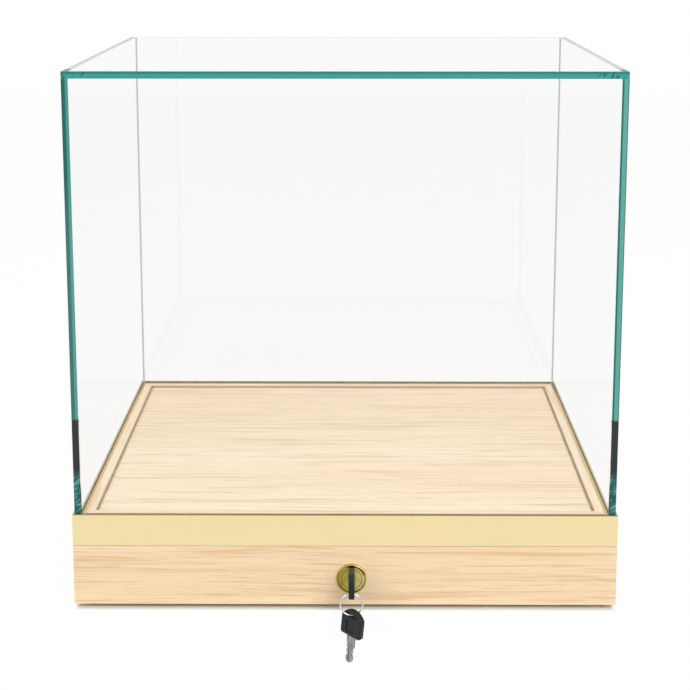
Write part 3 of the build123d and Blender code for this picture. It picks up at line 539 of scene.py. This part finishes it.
def upright_edge(tree, place, across, at):
    """Colour of an upright edge: green, with a near-black band low down as painted reflection,
    streaked at the foot. Each edge is deeper green on its left and paler on its right as painted
    light from the right, and the second result is how far its inner side lets light pass."""
    slanted = add(tree, "Mapping", {"Vector": place, "Rotation": (0, math.radians(38), 0)})
    ticks = add(tree, "TexNoise", {"Vector": add(tree, "Mapping", {
        "Vector": slanted.outputs[0], "Scale": (120.0, 60.0, 900.0)}).outputs[0], "Scale": 1.0,
        "Detail": 2.0}).outputs[0]
    high = between(tree, at["Z"], *HIGH_UP)
    # Painted light: each edge is deeper green on its left and paler on its right, as from a lamp on
    # the right
    left = blend(tree, between(tree, at["X"], -0.1962, -0.1950),
                 blend(tree, high, paint(60, 120, 115), paint(32, 104, 98)),
                 blend(tree, high, paint(92, 158, 149), paint(82, 148, 141)))
    right = blend(tree, between(tree, at["X"], 0.1944, 0.1952), paint(26, 116, 102),
                  paint(98, 168, 157))
    right = blend(tree, between(tree, at["X"], 0.1974, 0.1981), right, paint(72, 98, 98))
    green = blend(tree, work_out(tree, "GREATER_THAN", at["X"], 0.0), left, right)
    streaked = blend(tree, between(tree, ticks, 0.5, 0.62), paint(34, 92, 88),
                     paint(94, 164, 154))
    # Painted reflection: a near-black band low on the upright, above the streaked foot
    foot = blend(tree, between(tree, at["Z"], *STREAKS_TOP), streaked, paint(50, 56, 60))
    return blend(tree, between(tree, at["Z"], *REFLECTION_BAND_TOP), foot, green), 0.5


dress(glass("side_glass", "y", side_bonded, side_seam, upright_edge), "glass_left", "glass_right")
dress(glass("end_glass", "", end_bonded, end_seam, upright_edge), "glass_front", "glass_back")


# %% The top pane
UPPER_FACE = 0.394
UPPER_LINE = (0.3928, 0.3942)
NICKED_FROM = (0.165, 0.178)


def top_bonded(tree, across, along, facing):
    """The rim of the underside, which lies on the uprights."""
    under = work_out(tree, "LESS_THAN", facing["Z"], -0.9)
    out_there = work_out(tree, "GREATER_THAN", work_out(tree, "MAXIMUM", across, along),
                         INSIDE + TOUCH)
    return work_out(tree, "MULTIPLY", under, out_there)


def top_seam(tree, across, along, at, facing):
    """The pale bands where the ground tops of the uprights show through the top pane."""
    upper = work_out(tree, "GREATER_THAN", at["Z"], UPPER_FACE)
    sides = work_out(tree, "MULTIPLY", work_out(tree, "GREATER_THAN", across, INSIDE), 0.97)
    ends = work_out(tree, "MULTIPLY", work_out(tree, "GREATER_THAN", along, INSIDE), 0.35)
    return work_out(tree, "MULTIPLY", upper, work_out(tree, "MAXIMUM", sides, ends))


def level_edge(tree, place, across, at):
    """Colour of the top pane's edge: green, darker along its upper line, nicked at its ends. The
    second result is how far its inner side lets light pass."""
    green = blend(tree, between(tree, at["Z"], *UPPER_LINE), paint(58, 158, 151),
                  paint(46, 122, 117))
    slanted = add(tree, "Mapping", {"Vector": place, "Rotation": (0, math.radians(-35), 0)})
    nicks = add(tree, "TexNoise", {"Vector": add(tree, "Mapping", {
        "Vector": slanted.outputs[0], "Scale": (420.0, 60.0, 90.0)}).outputs[0], "Scale": 1.0,
        "Detail": 2.0}).outputs[0]
    ends = work_out(tree, "MULTIPLY", between(tree, across, *NICKED_FROM),
                    between(tree, nicks, 0.55, 0.63))
    return blend(tree, ends, green, paint(36, 104, 100)), 0.7


dress(glass("top_glass", "xy", top_bonded, top_seam, level_edge), "glass_top")
print("glass on five panes")

# %% [markdown]
# ## Counter, backdrop and lamps
# The case stands at the front edge of a white counter, because its spare key hangs lower than its
# feet. The counter and the world behind it have to be the same white in the picture, and yet the
# lamps must stay at a plain level, so that colours come out as written. So what the camera,
# mirrors and glass see of the world is plain white, and for them the counter glows too, except
# close round the case, where its shadow has to stay.
# %% World
world = bpy.data.worlds.new("studio")
bpy.context.scene.world = world
world.use_nodes = True
sky = world.node_tree
sky.nodes.clear()
plain = add(sky, "Background", {"Color": (1, 1, 1, 1), "Strength": 1.0})
fill = add(sky, "Background", {"Color": (1, 0.995, 0.985, 1), "Strength": 0.62})
both = add(sky, "MixShader", {0: seeing(sky), 1: fill.outputs[0], 2: plain.outputs[0]})
sky.links.new(both.outputs[0], add(sky, "OutputWorld").inputs["Surface"])

# %% Counter
COUNTER_EDGE = -0.206
SHADOW_INSET = 0.005
SHADOW_FADE = (0.2015, 0.2056)
MOST_GLOW = 0.92


def slab(name, low, high):
    """A box as a mesh: its eight corners are every choice of the two heights, widths and depths."""
    corners = np.array([[(low, high)[i][0], (low, high)[j][1], (low, high)[k][2]]
                        for i in (0, 1) for j in (0, 1) for k in (0, 1)])
    faces = [(0, 1, 3, 2), (4, 6, 7, 5), (0, 4, 5, 1), (2, 3, 7, 6), (0, 2, 6, 4), (1, 5, 7, 3)]
    mesh = bpy.data.meshes.new(name)
    mesh.from_pydata(corners.tolist(), [], faces)
    made = bpy.data.objects.new(name, mesh)
    bpy.context.scene.collection.objects.link(made)
    return made


counter = slab("counter", (-4.0, COUNTER_EDGE, -0.02), (4.0, 4.0, 0.0))
white, tree, out = material("counter_white")
at = add(tree, "SeparateXYZ", {"Vector": add(tree, "TexCoord").outputs["Object"]})
wide, deep, _ = sideways(tree, at.outputs)
reach = work_out(tree, "MAXIMUM", work_out(tree, "ADD", wide, SHADOW_INSET), deep)
open_floor = between(tree, reach, *SHADOW_FADE, 0.0, MOST_GLOW)
mist = streaks(tree, (6.0, 6.0, 6.0), detail=2.0)
matt = add(tree, "BsdfPrincipled", {"Base Color": blend(tree, mist, (0.78, 0.78, 0.78, 1),
                                                        (0.82, 0.82, 0.82, 1)),
                                    "Roughness": 0.8})
glow = add(tree, "Emission", {"Color": WHITE, "Strength": 1.02})
lit = work_out(tree, "MULTIPLY", open_floor, seeing(tree))
tree.links.new(add(tree, "MixShader", {0: lit, 1: matt.outputs[0], 2: glow.outputs[0]}).outputs[0],
               out)
counter.data.materials.append(white)


# %% Lamps
def lamp(name, place, size, watts):
    """A square soft lamp that looks at the middle of the case."""
    light = bpy.data.lights.new(name, "AREA")
    light.size = size
    light.energy = watts
    made = bpy.data.objects.new(name, light)
    made.location = place
    aim = np.array((0.0, 0.0, 0.12)) - np.array(place)
    made.rotation_euler = (math.acos(-aim[2] / np.linalg.norm(aim)), 0,
                           math.atan2(aim[1], aim[0]) - math.pi / 2)
    bpy.context.scene.collection.objects.link(made)
    return made


lamp("key_lamp", (1.3, -1.9, 1.5), 1.2, 26.0)
lamp("left_lamp", (-1.7, -1.3, 1.2), 1.4, 12.0)
lamp("top_lamp", (0.0, 0.1, 2.2), 1.6, 9.0)
